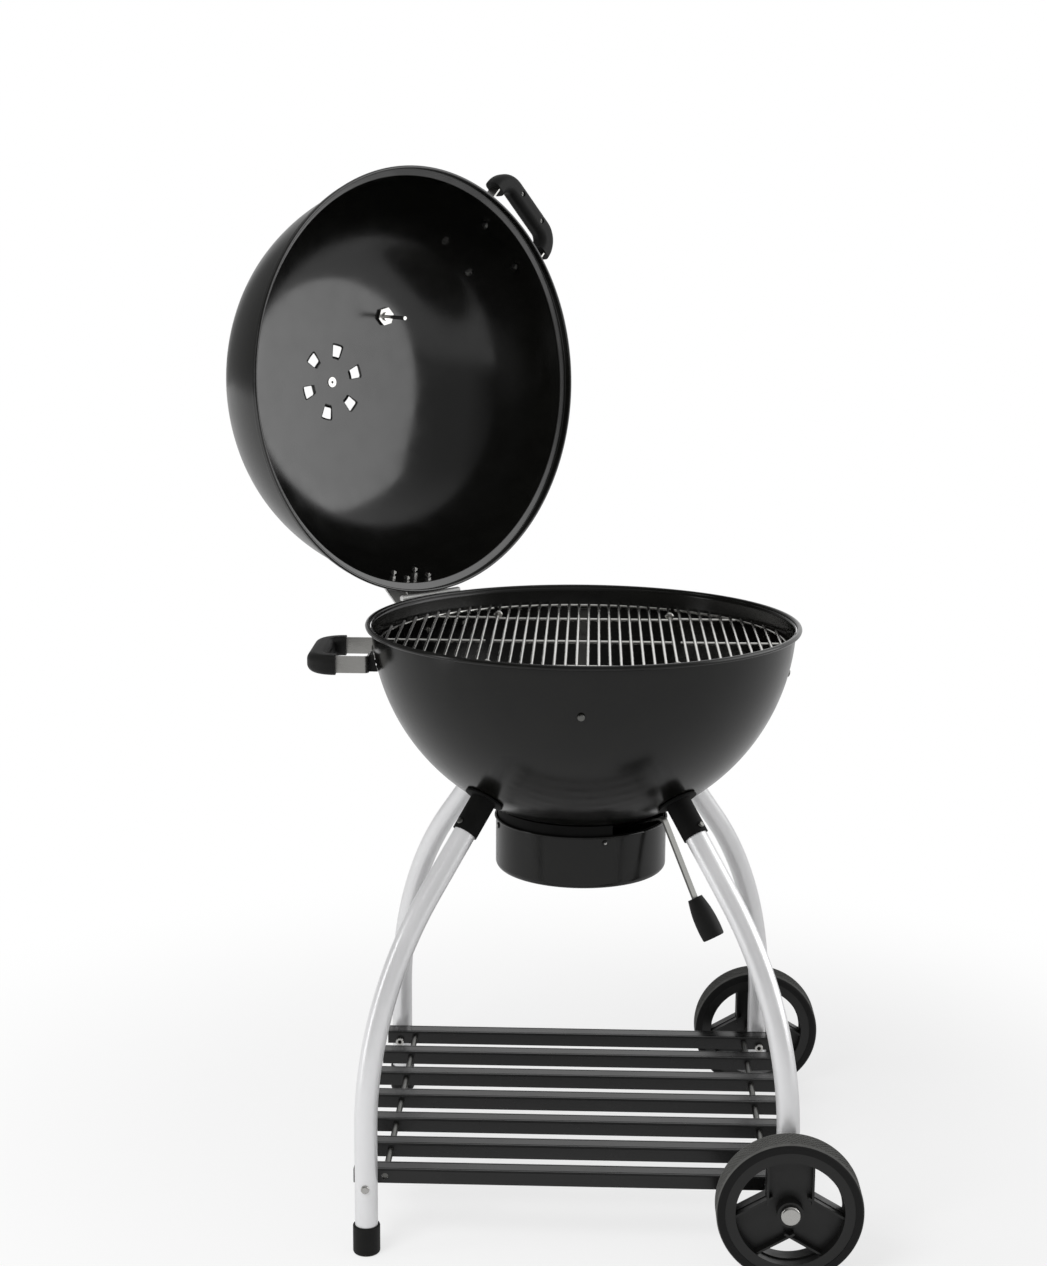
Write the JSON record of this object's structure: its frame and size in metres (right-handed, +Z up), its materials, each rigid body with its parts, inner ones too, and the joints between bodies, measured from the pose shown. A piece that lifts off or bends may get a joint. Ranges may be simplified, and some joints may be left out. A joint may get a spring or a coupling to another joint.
{
  "type": "kettle charcoal grill",
  "caption": "Kettle charcoal grill: round enamelled bowl with a hinged domed lid, hinged cooking grate, ash pot with sweeper lever, tube legs, slatted shelf and wheels.",
  "frame": {"origin": "on the floor under the kettle's axis", "axes": "+Z up, +X along the shelf slats towards the wheels, front at -Y"},
  "size_m": [0.9296, 0.8945, 1.4917],
  "materials": {
    "black_enamel": "gloss vitreous enamel",
    "leg_tube": "satin anodised",
    "stainless_strip": "brushed",
    "bright_fasteners": "bright",
    "grate_wire": "bright plated wire",
    "grip_plastic": "fine moulded grain",
    "slat_black": "satin powder coat",
    "shelf_rod": "satin powder coat",
    "wheel_plastic": "moulded",
    "tread_rubber": "ribbed tread",
    "plate_metal": "brushed, blank",
    "thermometer_steel": "polished bezel, pale dial",
    "pointer_paint": "matt paint",
    "dial_glass": "clear"
  },
  "bodies": {
    "stand": {"kettle_bowl": "black_enamel", "leg_sockets": "black_enamel", "pot_collar": "black_enamel", "leg_front_left": "leg_tube", "leg_front_right": "leg_tube", "leg_rear_left": "leg_tube", "leg_rear_right": "leg_tube", "side_handle_bracket": "stainless_strip", "kettle_hinge_leaf": "stainless_strip", "hinge_pin": "stainless_strip", "grate_brackets": "stainless_strip", "socket_screws": "bright_fasteners", "wheel_bolts": "bright_fasteners", "wheel_nuts": "bright_fasteners", "shelf_screws": "bright_fasteners", "bracket_bolts": "bright_fasteners", "side_handle_bolts": "bright_fasteners", "kettle_hinge_bolts": "bright_fasteners", "side_grip_top": "grip_plastic", "side_grip_bottom": "grip_plastic", "side_handle_pads": "grip_plastic", "leg_end_caps": "grip_plastic", "slat_1": "slat_black", "slat_2": "slat_black", "slat_3": "slat_black", "slat_4": "slat_black", "slat_5": "slat_black", "slat_6": "slat_black", "slat_7": "slat_black", "shelf_rods": "shelf_rod"},
    "lid": {"lid_dome": "black_enamel", "lid_handle_bracket": "stainless_strip", "lid_handle_pads": "grip_plastic", "lid_grip_top": "grip_plastic", "lid_grip_bottom": "grip_plastic", "lid_handle_bolts": "bright_fasteners", "name_plate": "plate_metal", "plate_rivets": "bright_fasteners", "thermometer_case": "thermometer_steel", "thermometer_glass": "dial_glass", "thermometer_nut": "bright_fasteners", "lid_hinge_leaf": "stainless_strip", "lid_hinge_bolts": "bright_fasteners", "vent_rivet": "bright_fasteners"},
    "damper": {"vent_damper": "stainless_strip"},
    "pointer": {"thermometer_pointer": "pointer_paint"},
    "air_control": {"sweeper": "stainless_strip", "air_lever": "stainless_strip", "lever_grip": "grip_plastic", "shaft_nut": "bright_fasteners"},
    "pot": {"ash_pot": "black_enamel"},
    "grate": {"cooking_grate": "grate_wire"},
    "flap_left": {"grate_flap_left": "grate_wire"},
    "flap_right": {"grate_flap_right": "grate_wire"},
    "coal_grate": {"charcoal_grate": "grate_wire"},
    "front_wheel": {"wheel_front": "wheel_plastic", "tyre_front": "tread_rubber"},
    "rear_wheel": {"wheel_rear": "wheel_plastic", "tyre_rear": "tread_rubber"}
  },
  "joints": [
    {"name": "lid_hinge", "type": "hinge", "parent": "stand", "child": "lid", "pos_m": [-0.23829, 0.22612, 0.8409], "axis": [-0.6884, -0.7254, 0], "range_deg": [-94, 0]},
    {"name": "vent_turn", "type": "hinge", "parent": "lid", "child": "damper", "pos_m": [-0.40814, 0.38731, 1.15383], "axis": [-0.7236, 0.6867, -0.0698], "range_deg": [0, 30]},
    {"name": "thermometer_turn", "type": "hinge", "parent": "lid", "child": "pointer", "pos_m": [-0.33107, 0.46562, 1.25488], "axis": [-0.6611, 0.7502, 0.0122], "range_deg": [-240, 0]},
    {"name": "air_lever_turn", "type": "hinge", "parent": "stand", "child": "air_control", "pos_m": [0, 0, 0.55], "axis": [0, 0, 1], "range_deg": [-30, 36]},
    {"name": "ash_pot_drop", "type": "slide", "parent": "stand", "child": "pot", "axis": [0, 0, -1], "range_m": [0, 0.06]},
    {"name": "grate_lift", "type": "slide", "parent": "stand", "child": "grate", "axis": [0, 0, 1], "range_m": [0, 0.15]},
    {"name": "left_flap_turn", "type": "hinge", "parent": "grate", "child": "flap_left", "pos_m": [-0.1309, 0, 0.8173], "axis": [0, 1, 0], "range_deg": [0, 100]},
    {"name": "right_flap_turn", "type": "hinge", "parent": "grate", "child": "flap_right", "pos_m": [0.1309, 0, 0.8173], "axis": [0, -1, 0], "range_deg": [0, 100]},
    {"name": "coal_grate_lift", "type": "slide", "parent": "stand", "child": "coal_grate", "axis": [0, 0, 1], "range_m": [0, 0.06]},
    {"name": "front_wheel_spin", "type": "hinge", "parent": "stand", "child": "front_wheel", "pos_m": [0.2905, -0.3355, 0.1], "axis": [0, 1, 0], "continuous": true},
    {"name": "rear_wheel_spin", "type": "hinge", "parent": "stand", "child": "rear_wheel", "pos_m": [0.2905, 0.3355, 0.1], "axis": [0, 1, 0], "continuous": true}
  ]
}
